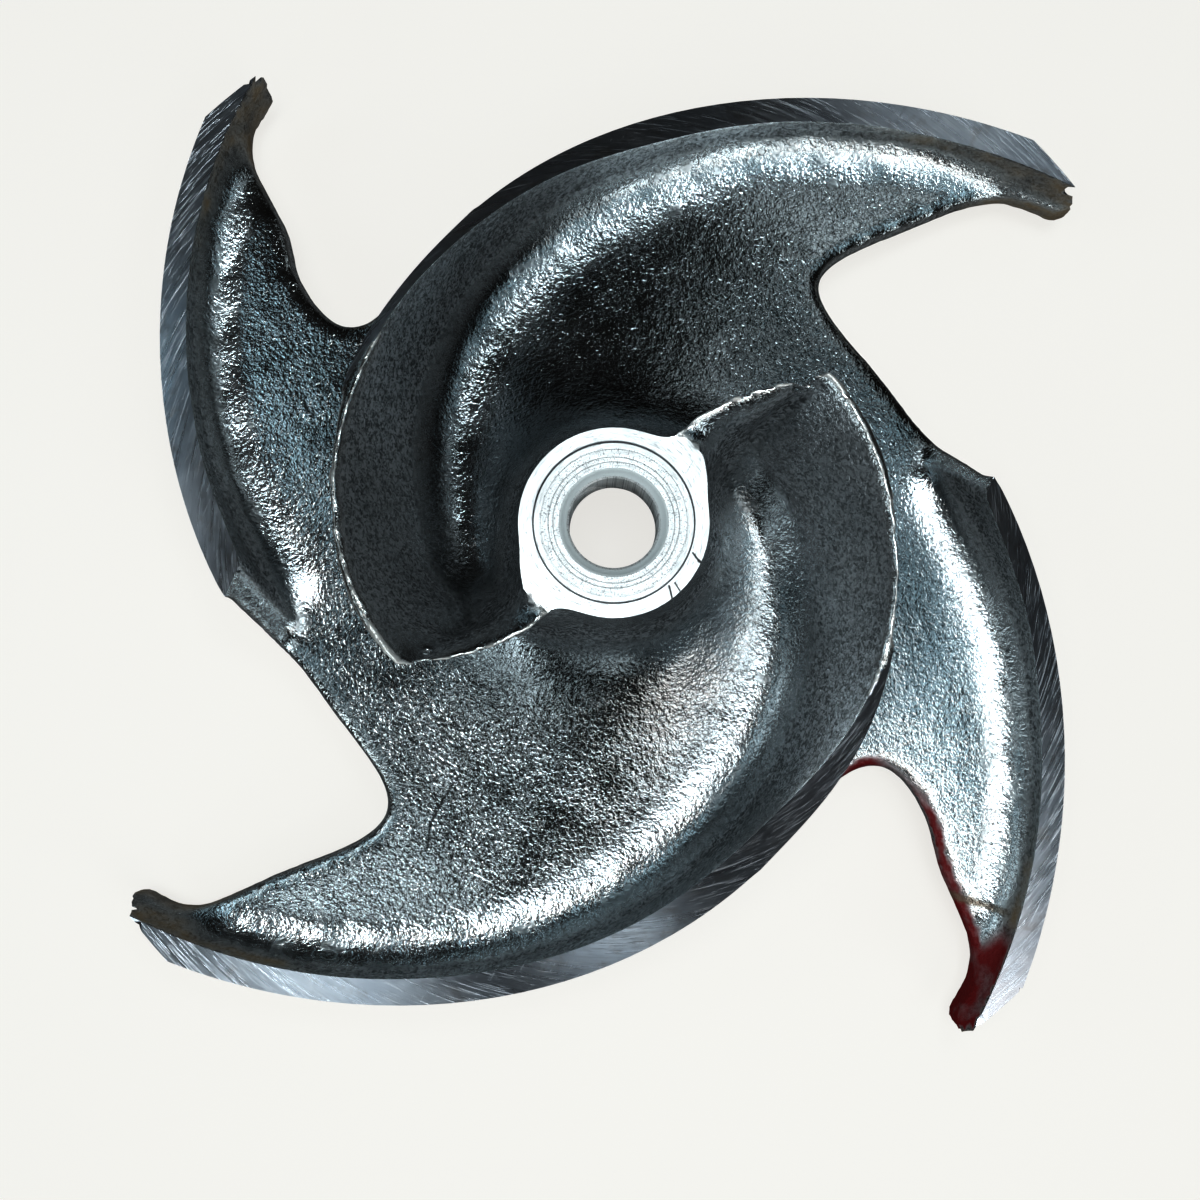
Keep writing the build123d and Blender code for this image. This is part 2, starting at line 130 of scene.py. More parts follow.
# zones: 0 cast, 1 turned land, 2 turned rim, 3 hub face, 4 bore and rear hub, 5 inlet land
C0 = V0[T0].mean(1)
rc = np.hypot(C0[:, 0], C0[:, 1])
ZONE0 = np.zeros(len(T0), int)
for p in np.unique(root):
    m = root == p
    w = A0[m] / A0[m].sum()
    r_, z_, nz = (rc[m] * w).sum(), (C0[m, 2] * w).sum(), (N0[m, 2] * w).sum()
    dz = (np.abs(C0[m, 2] - front_z(rc[m])) * w).sum()
    dr = (np.abs(rc[m] - R_OD) * w).sum()
    zone = 0
    if dr < 0.4:
        zone = 2
    elif nz > 0.95 and abs(z_ - FACE_Z) < 0.3 and r_ < 32:
        zone = 3
    elif dz < 0.6 and nz > 0.4 and r_ > 66:
        zone = 1
    elif dz < 0.4 and nz > 0.6 and 28 < r_ <= 66:
        zone = 5
    elif nz < -0.95 and z_ < 1.0:
        zone = 4
    elif abs(nz) < 0.2 and (np.abs(rc[m] - r_) * w).sum() < 0.3 and r_ < 30.5:
        zone = 4
    elif r_ < 18:
        zone = 4
    ZONE0[m] = zone

# the leading edges' land and the narrow end of the long vanes' land are narrower than the
# mesh can hold crisp, so they are rounded lightly with the cast edges and coloured as land
LE0 = ZONE0 == 5
STRIP0 = (ZONE0 == 1) & (C0[:, 2] > 60.0)
ZONE0[LE0] = 0
SOFT_R = 79.0
# sharp edges: turned ones stay crisp, cast ones get rounded
za, zb = ZONE0[FA], ZONE0[FB]
mid = V0[E0].mean(1)
rm = np.hypot(mid[:, 0], mid[:, 1])
soft_edge = ((za == 1) | (zb == 1)) & (rm < SOFT_R) & (mid[:, 2] > 60.0)
machined_edge = sharp & ((za > 0) | (zb > 0)) & ~soft_edge
cast_edge = sharp & ~machined_edge
# concave corners: the neighbour's centre lies in front of this face
conc = ((C0[FB] - C0[FA]) * N0[FA]).sum(1) > 0
root_edge = cast_edge & conc & (mid[:, 2] > 17) & (rm > 30)


def samples(mask, step=0.2):
    out, tan = [], []
    for a, b in V0[E0[mask]]:
        n = max(1, int(np.linalg.norm(b - a) / step))
        k = (np.arange(n) + 0.5) / n
        out.append(a + (b - a) * k[:, None])
    return np.concatenate(out)


def kd(points):
    k = KDTree(len(points))
    for i, p in enumerate(points):
        k.insert(p, i)
    k.balance()
    return k


tip_edge = cast_edge & (rm > R_OD - 13.0)
le_edge = sharp & (LE0[FA] | LE0[FB])
strip_edge = sharp & (STRIP0[FA] != STRIP0[FB])
snap_edge = machined_edge | tip_edge | le_edge | (strip_edge & soft_edge)
KD_MACH = kd(samples(machined_edge))
KD_SNAP = kd(samples(snap_edge))
convex_edge = cast_edge & ~conc
KD_CAST = kd(samples(cast_edge))
KD_ROOT = kd(samples(root_edge))
KD_CONVEX = kd(samples(convex_edge))
KD_LE = kd(samples(le_edge))
KD_STRIP = kd(samples(strip_edge))
deg = np.zeros(len(V0), int)
np.add.at(deg, E0[snap_edge].ravel(), 1)
corner_ids = [i for i in np.nonzero(deg > 2)[0]]
print("cad", len(V0), len(T0), "patches", len(np.unique(root)), "zones", np.bincount(ZONE0).tolist(),
      "corners", len(corner_ids))

BVH0 = BVHTree.FromPolygons([tuple(p) for p in V0], [tuple(int(i) for i in t) for t in T0])


def nearest(points):
    loc = np.empty((len(points), 3))
    idx = np.empty(len(points), int)
    for i, p in enumerate(points):
        l, n, k, d = BVH0.find_nearest(p)
        loc[i] = l
        idx[i] = k
    return loc, idx


# ------------------------------------------------ even mesh over the casting
tmp_me = bpy.data.meshes.new("tmp_cad")
tmp_me.from_pydata((V0 / 1000.0).tolist(), [], T0.tolist())
tmp = bpy.data.objects.new("tmp_cad", tmp_me)
bpy.context.scene.collection.objects.link(tmp)
mod = tmp.modifiers.new("r", "REMESH")
mod.mode = "VOXEL"
mod.voxel_size = VOXEL / 1000.0
mod.adaptivity = 0.0
dg = bpy.context.evaluated_depsgraph_get()
rm_me = bpy.data.meshes.new_from_object(tmp.evaluated_get(dg))
V = np.empty(len(rm_me.vertices) * 3)
rm_me.vertices.foreach_get("co", V)
V = V.reshape(-1, 3) * 1000.0
Q = [tuple(p.vertices) for p in rm_me.polygons]
bpy.data.objects.remove(tmp)
bpy.data.meshes.remove(tmp_me)
bpy.data.meshes.remove(rm_me)
quads = np.array([q for q in Q if len(q) == 4])
tris_extra = np.array([q for q in Q if len(q) == 3]).reshape(-1, 3).astype(int)
print("voxel", len(V), len(quads), len(tris_extra))

V, near = nearest(V)
qe = np.concatenate([quads[:, [0, 1]], quads[:, [1, 2]], quads[:, [2, 3]], quads[:, [3, 0]],
                     tris_extra[:, [0, 1]], tris_extra[:, [1, 2]], tris_extra[:, [2, 0]]])
qe = np.unique(np.sort(qe, axis=1), axis=0)
el = np.linalg.norm(V[qe[:, 0]] - V[qe[:, 1]], axis=1)
span = np.bincount(np.r_[qe[:, 0], qe[:, 1]], weights=np.r_[el, el], minlength=len(V)) / np.maximum(
    np.bincount(np.r_[qe[:, 0], qe[:, 1]], minlength=len(V)), 1)
span = np.clip(span, 0.3, VOXEL)


def kd_dist(tree, pts):
    d = np.empty(len(pts))
    loc = np.empty((len(pts), 3))
    for i, p in enumerate(pts):
        c, k, dd = tree.find(p)
        d[i] = dd
        loc[i] = c
    return d, loc


fd, fl = kd_dist(KD_SNAP, V)
nv = N0[near]
cross = ((nv[qe[:, 0]] * nv[qe[:, 1]]).sum(1) < math.cos(math.radians(24))) & (
    np.minimum(fd[qe[:, 0]], fd[qe[:, 1]]) < 1.7 * VOXEL)
ce = qe[cross]
pick = np.where(fd[ce[:, 0]] <= fd[ce[:, 1]], ce[:, 0], ce[:, 1])
snapped = np.zeros(len(V), bool)
snapped[pick] = True
snapped &= fd < 1.7 * VOXEL
V[snapped] = fl[snapped]
KD_V = kd(V)
pinned = np.zeros(len(V), bool)
for c in corner_ids:
    co, k, d = KD_V.find(V0[c])
    if d < 1.7 * VOXEL and not pinned[k]:
        V[k] = V0[c]
        pinned[k] = True
        snapped[k] = True

# even out the vertices, sliding on the surface and along the edges
ss = snapped[qe[:, 0]] & snapped[qe[:, 1]]


def average(v, edges, n):
    i = np.r_[edges[:, 0], edges[:, 1]]
    j = np.r_[edges[:, 1], edges[:, 0]]
    cnt = np.bincount(i, minlength=n).astype(float)
    acc = np.stack([np.bincount(i, weights=v[j, k], minlength=n) for k in range(3)], axis=1)
    return acc / np.maximum(cnt, 1)[:, None], cnt


for it in range(3):
    av, cnt = average(V, qe, len(V))
    avs, cs = average(V, qe[ss], len(V))
    W = V.copy()
    free = ~snapped
    W[free] = V[free] + 0.5 * (av[free] - V[free])
    sl = snapped & ~pinned & (cs == 2)
    W[sl] = V[sl] + 0.5 * (avs[sl] - V[sl])
    loc, near = nearest(W[free])
    W[free] = loc
    dd, ll = kd_dist(KD_SNAP, W[sl])
    W[sl] = ll
    V = W

# cut each quad along the diagonal that follows the casting
a, b, c, d = quads.T
d02 = np.linalg.norm(V[a] - V[c], axis=1)
d13 = np.linalg.norm(V[b] - V[d], axis=1)
use02 = d02 <= d13
hard = np.nonzero(snapped[quads].sum(1) >= 2)[0]


def tri_cost(tri):
    p = V[tri]
    n = np.cross(p[:, 1] - p[:, 0], p[:, 2] - p[:, 0])
    ar = np.linalg.norm(n, axis=1)
    n = n / np.maximum(ar, 1e-9)[:, None]
    loc, idx = nearest(p.mean(1))
    off = np.linalg.norm(loc - p.mean(1), axis=1)
    return ar * (1 - (n * N0[idx]).sum(1)) + ar * off * 2.0


h = quads[hard]
c02 = tri_cost(h[:, [0, 1, 2]]) + tri_cost(h[:, [0, 2, 3]])
c13 = tri_cost(h[:, [0, 1, 3]]) + tri_cost(h[:, [1, 2, 3]])
use02[hard] = np.where(np.abs(c02 - c13) < 1e-3, use02[hard], c02 < c13)
qa, qb = quads[use02], quads[~use02]
T = np.concatenate([qa[:, [0, 1, 2]], qa[:, [0, 2, 3]], qb[:, [0, 1, 3]], qb[:, [1, 2, 3]], tris_extra])
ctr = V[T].mean(1)
_, near = nearest(ctr)
ZONE = ZONE0[near]
ZONE[(ZONE == 1) & (np.hypot(ctr[:, 0], ctr[:, 1]) < SOFT_R) & (ctr[:, 2] > 60.0)] = 0
print("tris", len(T), "zones", np.bincount(ZONE).tolist())

_, near_v = nearest(V)
dst, _ = kd_dist(KD_STRIP, V)
strip = np.clip(np.where(STRIP0[near_v], dst, -dst), -4, 4)

# vertices that lie on turned surfaces stay where they are
on_mach = np.zeros(len(V), bool)
on_mach[T[ZONE > 0].ravel()] = True
dm, _ = kd_dist(KD_MACH, V)
dc, _ = kd_dist(KD_CAST, V)
dr, _ = kd_dist(KD_ROOT, V)
dx, _ = kd_dist(KD_CONVEX, V)
te = np.unique(np.sort(np.concatenate([T[:, [0, 1]], T[:, [1, 2]], T[:, [2, 0]]]), axis=1), axis=0)


def fade(x, lo, hi):
    t = np.clip((x - lo) / (hi - lo), 0, 1)
    return 1 - t * t * (3 - 2 * t)


dle, _ = kd_dist(KD_LE, V)
w_cast = fade(dc, 2.4, 5.0) * ~on_mach
soft = np.maximum(fade(np.abs(strip), 2.5, 4.0), fade(dle, 1.8, 3.5))
nose = np.maximum(fade(np.abs(strip), 1.6, 3.4), fade(dle, 2.0, 4.0)) * ~on_mach
# wide root fillets where the vanes are tall, smaller ones out on the arms
rad_v = np.hypot(V[:, 0], V[:, 1])
high = (V[:, 2] > 57.0) & (rad_v > 26.0) & (rad_v < 98.0)
nose = np.maximum(nose, fade(dx, 2.0, 4.0) * high * ~on_mach)
reach = np.interp(rad_v, [60, 95, 130, 177], [11.0, 10.0, 6.5, 5.0])
keep_off = np.clip((dm - 0.6) / 3.0, 0, 1) * np.clip((R_OD - 3.5 - rad_v) / 9.0, 0, 1)
w_root = fade(dr / reach, 0.75, 1.35) * ~on_mach * keep_off * (1 - fade(dx, 1.8, 6.5)) * (1 - soft)
for it in range(150):
    w = np.maximum(w_cast * keep_off * (1 - soft * (it > 0)), w_root) if it < 10 else w_root * np.clip(np.interp(reach, [5.0, 10.0], [60.0, 150.0]) - it, 0, 1)
    av, cnt = average(V, te, len(V))
    V = V + (0.55 * w)[:, None] * (av - V)
# the vanes' noses and the narrow lands: a small radius without losing height
for it in range(6):
    av, cnt = average(V, te, len(V))
    V = V + (0.5 * nose)[:, None] * (av - V)
# corners where three edges meet are worn round, the arms' end edges slightly
dcor, _ = kd_dist(kd(V0[corner_ids]), V)
dtip, _ = kd_dist(kd(samples(tip_edge)), V)
low_rim = fade(dm, 0.8, 2.2) * (rad_v > R_OD - 4.0) * (V[:, 2] < front_z(rad_v) - 8.0)
worn = np.maximum(fade(dcor, 1.0, 2.4), 0.5 * fade(dtip, 0.8, 1.8)) * ~on_mach
worn = np.maximum(worn, 0.8 * low_rim)
for it in range(4):
    av, cnt = average(V, te, len(V))
    V = V + (0.5 * worn * ((it < 2) | (dcor < 2.4)))[:, None] * (av - V)

# slow unevenness of the cast skin
w_skin = np.clip(dm / 3.0, 0, 1) * ~on_mach
TN, TA = tri_normals(V, T)
VN = np.zeros_like(V)
for k in range(3):
    np.add.at(VN, T[:, k], TN * TA[:, None])
VN /= np.maximum(np.linalg.norm(VN, axis=1), 1e-9)[:, None]
amp = np.empty(len(V))
for i, p in enumerate(V):
    q = Vector(p)
    amp[i] = 0.30 * noise.noise(q / 26.0) + 0.07 * noise.noise(q / 9.0 + Vector((7, 3, 1))) + 0.04 * noise.noise(
        q / 3.6 + Vector((1, 9, 4)))
V = V + VN * (amp * w_skin)[:, None]


# --------------------------------------------------- marks, wear and stains, and the masks for painted shade and sheen
TN, TA = tri_normals(V, T)
VN = np.zeros_like(V)
for k in range(3):
    np.add.at(VN, T[:, k], TN * TA[:, None])
VN /= np.maximum(np.linalg.norm(VN, axis=1), 1e-9)[:, None]


def seg_dist(p, a, b):
    a, b = np.array(a, float), np.array(b, float)
    t = np.clip(((p - a) @ (b - a)) / ((b - a) @ (b - a)), 0, 1)
    return np.linalg.norm(p - (a + t[:, None] * (b - a)), axis=1)


def bump_in(p, d, lo, hi):
    return fade(d, lo, hi)


# casting pits and a cold shut in the floor
for c, rad, dep in (((22.3, 117.3, 42.1), 1.6, 0.5), ((19.9, 101.3, 29.5), 1.8, 0.6), ((94.3, 103.7, 23.4), 1.5, 0.5),
                    ((-60.0, 96.0, 26.0), 1.7, 0.4), ((70.0, -10.0, 36.0), 1.6, 0.4), ((-38.0, -101.0, 27.0), 1.7, 0.4)):
    d = np.linalg.norm(V - np.array(c), axis=1)
    V = V - VN * (dep * fade(d, 0.2, rad) * ~on_mach)[:, None]
for a, b, dep in (((51.1, 86.6, 29.9), (62.5, 87.0, 28.8), -0.25), ((102.8, -105.0, 20.6), (116.7, -109.2, 22.1), 0.2)):
    d = seg_dist(V, a, b)
    V = V - VN * (dep * fade(d, 0.3, 1.7) * ~on_mach)[:, None]

Vs = V.copy()
for it in range(8):
    av, cnt = average(Vs, te, len(Vs))
    Vs = Vs + 0.6 * (av - Vs)
cavity = np.clip(((Vs - V) * VN).sum(1) / 0.45, -1, 1)

rv = np.hypot(V[:, 0], V[:, 1])
av_deg = np.degrees(np.arctan2(V[:, 1], V[:, 0])) % 360
steep = np.clip((0.75 - VN[:, 2]) / 0.35, 0, 1)


def near_deg(target, half, soft):
    d = np.abs((av_deg - target + 180) % 360 - 180)
    return fade(d, half, half + soft)


facing_in = np.clip((-(VN[:, 0] * V[:, 0] + VN[:, 1] * V[:, 1]) / np.maximum(rv, 1)) * 2.0 + 0.6, 0, 1)
tip = fade(-rv, -160, -140)
brown = steep * tip * (V[:, 2] > 6) * 0.9
brown = np.maximum(brown, fade(R_OD - rv, 0.0, 2.0) * (~on_mach) * 0.4)
lip_z = np.interp(rv, [92, 110, 128, 150], [40.0, 35.0, 30.0, 25.5])
lip = fade(dx, 1.8, 3.4) * fade(V[:, 2] - lip_z, -2.5, 0.0)
red = near_deg(311, 9, 3) * fade(-rv, -98, -90) * np.maximum(lip, steep * fade(V[:, 2], 20.0, 22.0))
red = np.maximum(red, near_deg(306, 8, 3) * fade(-rv, -160, -151) * np.clip(steep * 2, 0, 1) * ~on_mach)
brown = brown * (1 - red)

# ------------------------------------------------------------ the mesh object
me = bpy.data.meshes.new("impeller_casting")
me.from_pydata((V / 1000.0).tolist(), [], T.tolist())
me.validate()
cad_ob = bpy.data.objects.new("impeller_casting", me)
bpy.context.scene.collection.objects.link(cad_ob)
n_poly = len(me.polygons)
zone_now = ZONE if n_poly == len(ZONE) else np.zeros(n_poly, int)
me.polygons.foreach_set("material_index", zone_now.astype(np.int32))
me.polygons.foreach_set("use_smooth", np.ones(n_poly, bool))


def put(name, values):
    at = me.attributes.new(name, "FLOAT", "POINT")
    at.data.foreach_set("value", np.asarray(values, np.float32))


put("cavity", cavity)
put("brown", brown)
put("red", red)
put("steep", steep)
dle, _ = kd_dist(KD_LE, V)
dxe, _ = kd_dist(KD_CONVEX, V)
put("inlet", np.maximum(fade(dle, 0.5, 1.7), fade(dxe, 0.5, 1.7) * (V[:, 2] > 57.0) * (rv > 26.0) * (rv < 98.0)))
put("strip", strip)
# outer arms: a brighter finish, partly a painted sheen that lifts their colour
put("polish_and_sheen", fade(-rv, -118.0, -82.0) * (1 - brown) * (1 - red))
bm = bmesh.new()
bm.from_mesh(me)
bm.verts.ensure_lookup_table()
dmv = np.minimum(dm, 9)
for e in bm.edges:
    if len(e.link_faces) == 2:
        i, j = e.verts[0].index, e.verts[1].index
        f, g = e.link_faces
        if f.material_index != g.material_index and dmv[i] < 0.9 and dmv[j] < 0.9:
            if f.normal.dot(g.normal) < 0.93:
                e.smooth = False
        elif dmv[i] < 0.6 and dmv[j] < 0.6 and f.normal.dot(g.normal) < 0.8:
            e.smooth = False
bm.to_mesh(me)
bm.free()
body_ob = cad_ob

# --------------------------------------------- turned ring on the hub, threaded
SEG = 360
PITCH = 2.0
ring_pts = []


def face_profile():
    pts = []
    # outer wall, the raised ring's edge, its turned face, the chamfer
    pts += [(20.45, 66.15), (20.45, 70.0), (20.45, 78.0), (20.45, 85.0), (20.45, 85.85), (20.30, 86.0)]
    r = 20.3
    k = 0
    while r > 14.1:
        r -= 0.155
        k += 1
        pts.append((r, 86.0 - (0.02 if k % 2 else 0.0) - (0.045 if k in (9, 10, 23, 31) else 0)))
    pts += [(13.8, 85.95), (13.3, 85.5), (13.25, 85.38), (12.6, 84.8), (12.3, 84.42), (12.0, 84.2)]
    return pts


prof = face_profile()
inner_n = 80
inner_z = np.linspace(83.9, 66.15, inner_n)
th = np.linspace(0, 2 * math.pi, SEG, endpoint=False)
rows = []
for r, z in prof:
    rows.append(np.c_[r * np.cos(th), r * np.sin(th), np.full(SEG, z)])
for z in inner_z:
    ph = ((z - 62.0) / PITCH - th / (2 * math.pi)) % 1.0
    tri_w = np.abs(ph - 0.5) * 2.0
    depth = 1.15 * np.clip((tri_w - 0.12) / 0.76, 0, 1)
    ends = np.clip((83.6 - z) / 1.5, 0, 1) * np.clip((z - 66.0) / 2.0, 0, 1)
    r = 11.5 + depth * ends
    rows.append(np.c_[r * np.cos(th), r * np.sin(th), np.full(SEG, z)])
P = np.concatenate(rows)
nr = len(rows)
F4 = []
for i in range(nr):
    j = (i + 1) % nr
    for k in range(SEG):
        k2 = (k + 1) % SEG
        F4.append((i * SEG + k, i * SEG + k2, j * SEG + k2, j * SEG + k))
rme = bpy.data.meshes.new("hub_face_turned")
rme.from_pydata((P / 1000.0).tolist(), [], F4)
bm = bmesh.new()
bm.from_mesh(rme)
bmesh.ops.recalc_face_normals(bm, faces=bm.faces)
for f in bm.faces:
    f.smooth = True
for e in bm.edges:
    if len(e.link_faces) == 2 and e.link_faces[0].normal.dot(e.link_faces[1].normal) < 0.8:
        e.smooth = False
bm.to_mesh(rme)
bm.free()
ring_ob = bpy.data.objects.new("hub_face_turned", rme)
bpy.context.scene.collection.objects.link(ring_ob)


# ------------------------------------------------------------------ materials
class Mat:
    def __init__(self, name):
        self.m = bpy.data.materials.new(name)
        self.m.use_nodes = True
        self.t = self.m.node_tree
        self.t.nodes.clear()
        self.out = self.t.nodes.new("ShaderNodeOutputMaterial")
        self.b = self.t.nodes.new("ShaderNodeBsdfPrincipled")
        self.t.links.new(self.b.outputs[0], self.out.inputs[0])
        self.tc = self.t.nodes.new("ShaderNodeTexCoord").outputs["Object"]

    def n(self, kind, **props):
        nd = self.t.nodes.new(kind)
        for k, v in props.items():
            setattr(nd, k, v)
        return nd

    def put(self, sock, val):
        if isinstance(val, bpy.types.NodeSocket):
            self.t.links.new(val, sock)
        else:
            sock.default_value = val

    def math(self, op, a, b=None, c=None, clamp=False):
        nd = self.n("ShaderNodeMath", operation=op, use_clamp=clamp)
        for i, v in enumerate((a, b, c)):
            if v is not None:
                self.put(nd.inputs[i], v)
        return nd.outputs[0]

    def noise(self, vec, scale, detail=2.0, rough=0.5, dist=0.0):
        nd = self.n("ShaderNodeTexNoise")
        self.put(nd.inputs["Vector"], vec)
        nd.inputs["Scale"].default_value = scale
        nd.inputs["Detail"].default_value = detail
        nd.inputs["Roughness"].default_value = rough
        nd.inputs["Distortion"].default_value = dist
        return nd.outputs[0]

    def voronoi(self, vec, scale, feature="F1", smooth=None):
        nd = self.n("ShaderNodeTexVoronoi", feature=feature)
        self.put(nd.inputs["Vector"], vec)
        nd.inputs["Scale"].default_value = scale
        if smooth is not None:
            nd.inputs["Smoothness"].default_value = smooth
        return nd.outputs["Distance"]

    def ramp(self, fac, stops, interp="LINEAR"):
        nd = self.n("ShaderNodeValToRGB")
        nd.color_ramp.interpolation = interp
        el = nd.color_ramp.elements
        while len(el) < len(stops):
            el.new(0.5)
        for e, (p, c) in zip(el, stops):
            e.position = p
            e.color = (c, c, c, 1) if isinstance(c, (int, float)) else (*c, 1)
        self.put(nd.inputs[0], fac)
        return nd.outputs[0]

    def mix(self, fac, a, b, mode="MIX"):
        nd = self.n("ShaderNodeMix", data_type="RGBA", blend_type=mode)
        self.put(nd.inputs[0], fac)
        for i, v in ((6, a), (7, b)):
            self.put(nd.inputs[i], (*v, 1) if isinstance(v, tuple) and len(v) == 3 else v)
        return nd.outputs[2]

    def attr(self, name):
        return self.n("ShaderNodeAttribute", attribute_name=name).outputs["Fac"]

    def mapping(self, vec, scale=(1, 1, 1), rot=(0, 0, 0), loc=(0, 0, 0)):
        nd = self.n("ShaderNodeMapping")
        self.put(nd.inputs["Vector"], vec)
        nd.inputs["Scale"].default_value = scale
        nd.inputs["Rotation"].default_value = rot
        nd.inputs["Location"].default_value = loc
        return nd.outputs[0]

    def xyz(self, vec):
        nd = self.n("ShaderNodeSeparateXYZ")
        self.put(nd.inputs[0], vec)
        return nd.outputs

    def vec(self, x, y, z):
        nd = self.n("ShaderNodeCombineXYZ")
        for s, v in zip(nd.inputs, (x, y, z)):
            self.put(s, v)
        return nd.outputs[0]

    def bump(self, height, dist, strength=1.0, normal=None):
        nd = self.n("ShaderNodeBump")
        nd.inputs["Distance"].default_value = dist
        nd.inputs["Strength"].default_value = strength
        self.put(nd.inputs["Height"], height)
        if normal is not None:
            self.put(nd.inputs["Normal"], normal)
        return nd.outputs[0]

    def polar(self):
        x, y, z = self.xyz(self.tc)
        r = self.math("SQRT", self.math("ADD", self.math("MULTIPLY", x, x), self.math("MULTIPLY", y, y)))
        a = self.math("ARCTAN2", y, x)
        return r, a, z

    def scratches(self, angle, scale, seed, lo, hi, stretch=28.0):
        v = self.mapping(self.tc, rot=(0, 0, math.radians(angle)), loc=(seed, seed * 0.7, 0))
        v = self.mapping(v, scale=(scale / stretch, scale, scale / 6))
        return self.ramp(self.noise(v, 1.0, 2.0, 0.55, 0.25), [(lo, 0.0), (hi, 1.0)])

    def wander(self):
        if not hasattr(self, "w_"):
            self.w_ = self.noise(self.tc, 900.0, 2.0)
        return self.w_

    def segment(self, a, b, half, soft):
        """1 on the line a-b (metres, plan view), 0 away from it"""
        ax, ay = a
        dx, dy = b[0] - ax, b[1] - ay
        ll = dx * dx + dy * dy
        x, y, z = self.xyz(self.tc)
        px = self.math("SUBTRACT", x, ax)
        py = self.math("SUBTRACT", y, ay)
        t = self.math("DIVIDE", self.math("ADD", self.math("MULTIPLY", px, dx), self.math("MULTIPLY", py, dy)), ll,
                      clamp=True)
        qx = self.math("SUBTRACT", px, self.math("MULTIPLY", t, dx))
        qy = self.math("SUBTRACT", py, self.math("MULTIPLY", t, dy))
        d = self.math("SQRT", self.math("ADD", self.math("MULTIPLY", qx, qx), self.math("MULTIPLY", qy, qy)))
        d = self.math("ADD", d, self.math("MULTIPLY", self.math("SUBTRACT", self.wander(), 0.5),
                                          half * 2.5))
        return self.math("SUBTRACT", 1.0, self.math("DIVIDE", self.math("SUBTRACT", d, half), soft, clamp=True),
                         clamp=True)


